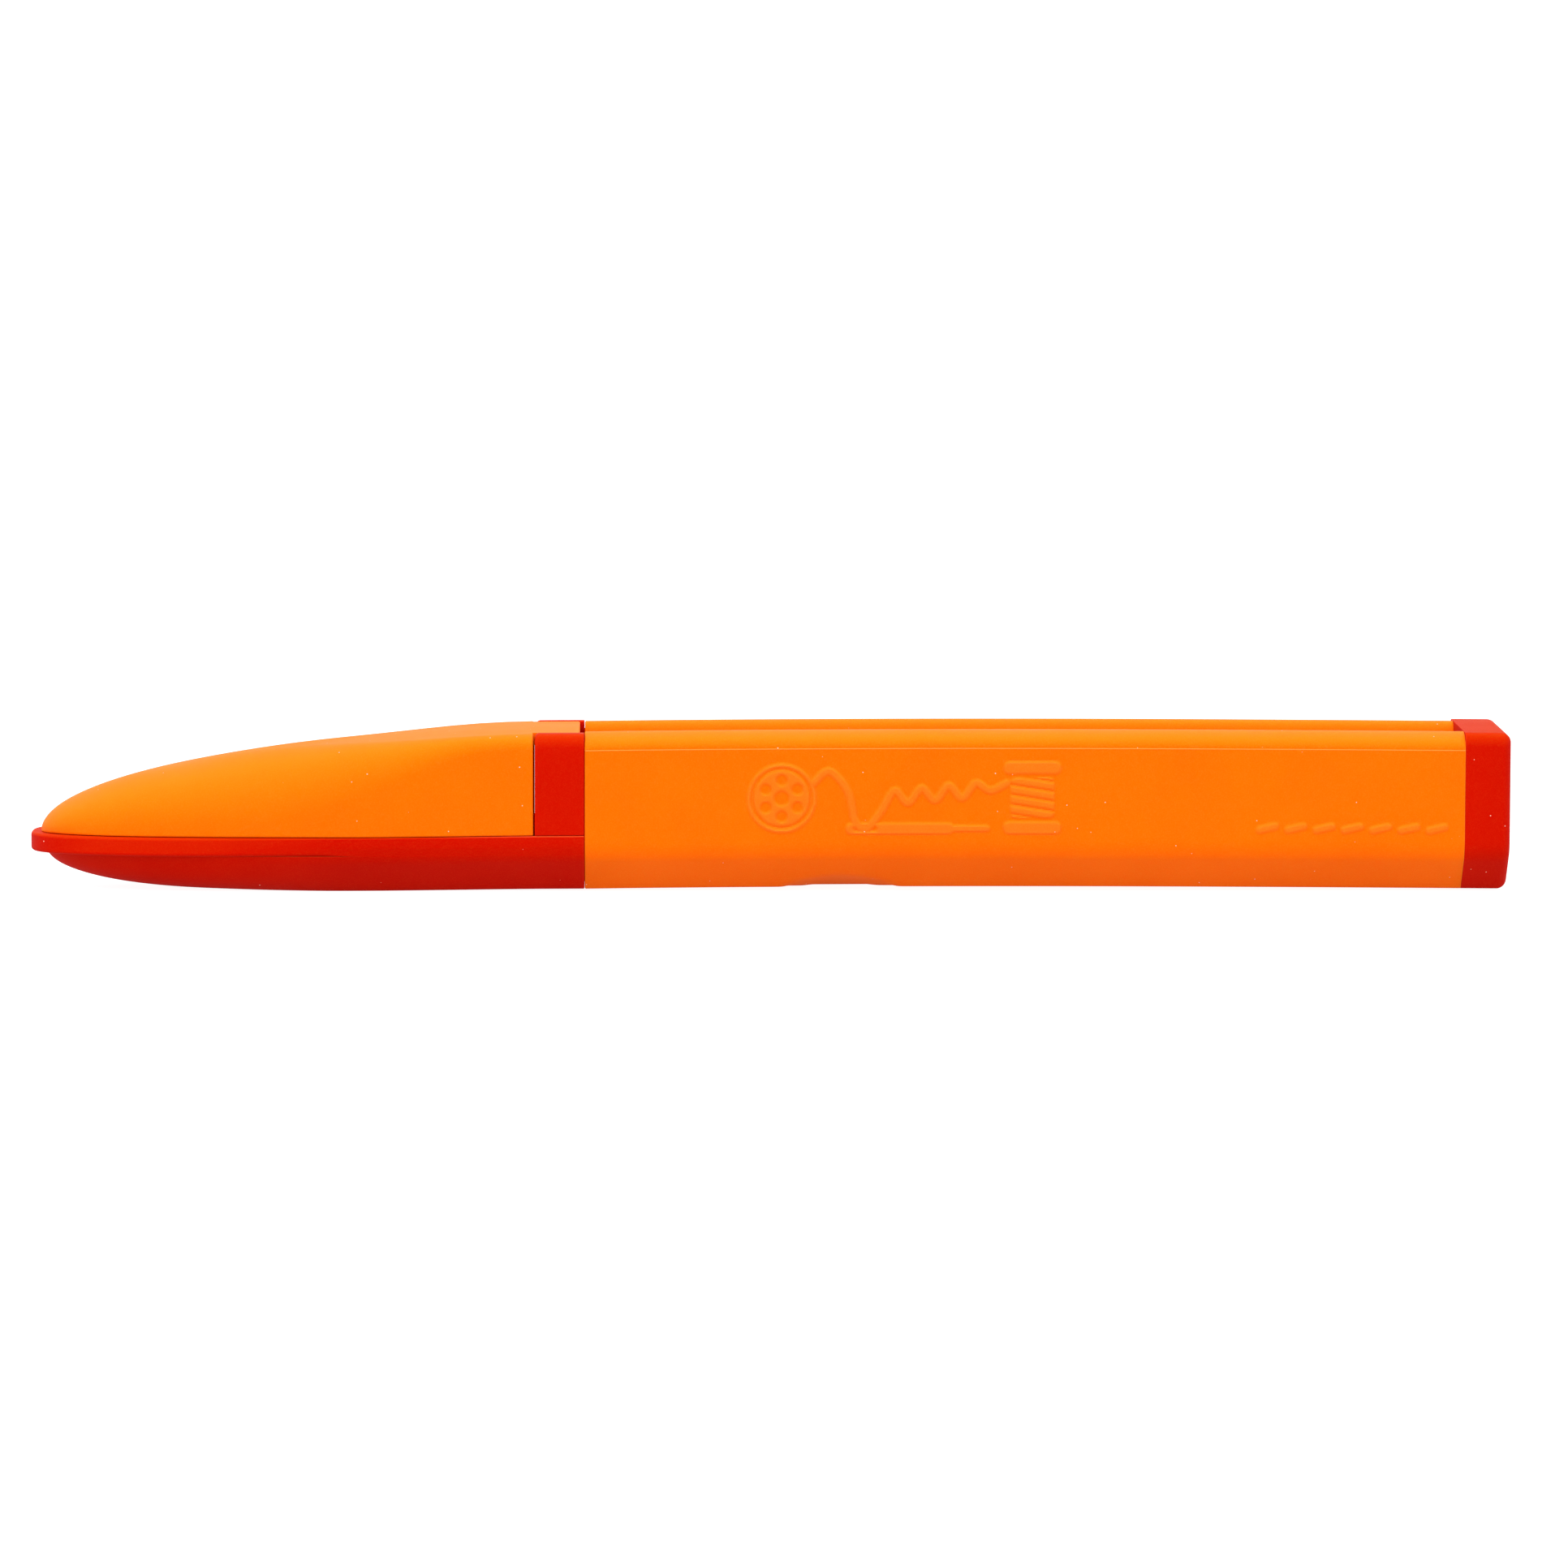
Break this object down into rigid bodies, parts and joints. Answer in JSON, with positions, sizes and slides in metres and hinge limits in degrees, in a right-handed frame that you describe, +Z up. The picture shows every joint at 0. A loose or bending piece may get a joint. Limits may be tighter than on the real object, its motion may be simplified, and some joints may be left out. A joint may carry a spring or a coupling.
{
  "type": "bobbin storage case",
  "caption": "Soft open-topped channel that holds sewing-machine bobbins in a row, with a pull-off hollow nose under a hinged hood and a closed tail.",
  "frame": {"origin": "centre of the bounding box's footprint, on the ground", "axes": "+X from the nose to the tail, +Z up"},
  "size_m": [0.241, 0.0256, 0.026],
  "materials": {
    "orange_silicone": "soft matte silicone",
    "red_silicone": "soft matte silicone"
  },
  "bodies": {
    "sleeve": {"sleeve": "orange_silicone", "end_cap": "red_silicone"},
    "nose": {"nose_tray": "red_silicone", "collar": "red_silicone"},
    "lid": {"nose_lid": "orange_silicone"}
  },
  "joints": [
    {"name": "nose_slide", "type": "slide", "parent": "sleeve", "child": "nose", "axis": [-1, 0, 0], "range_m": [0, 0.03]},
    {"name": "lid_hinge", "type": "hinge", "parent": "nose", "child": "lid", "pos_m": [-0.03215, 0, 0.0243], "axis": [0, 1, 0], "range_deg": [0, 105]}
  ]
}
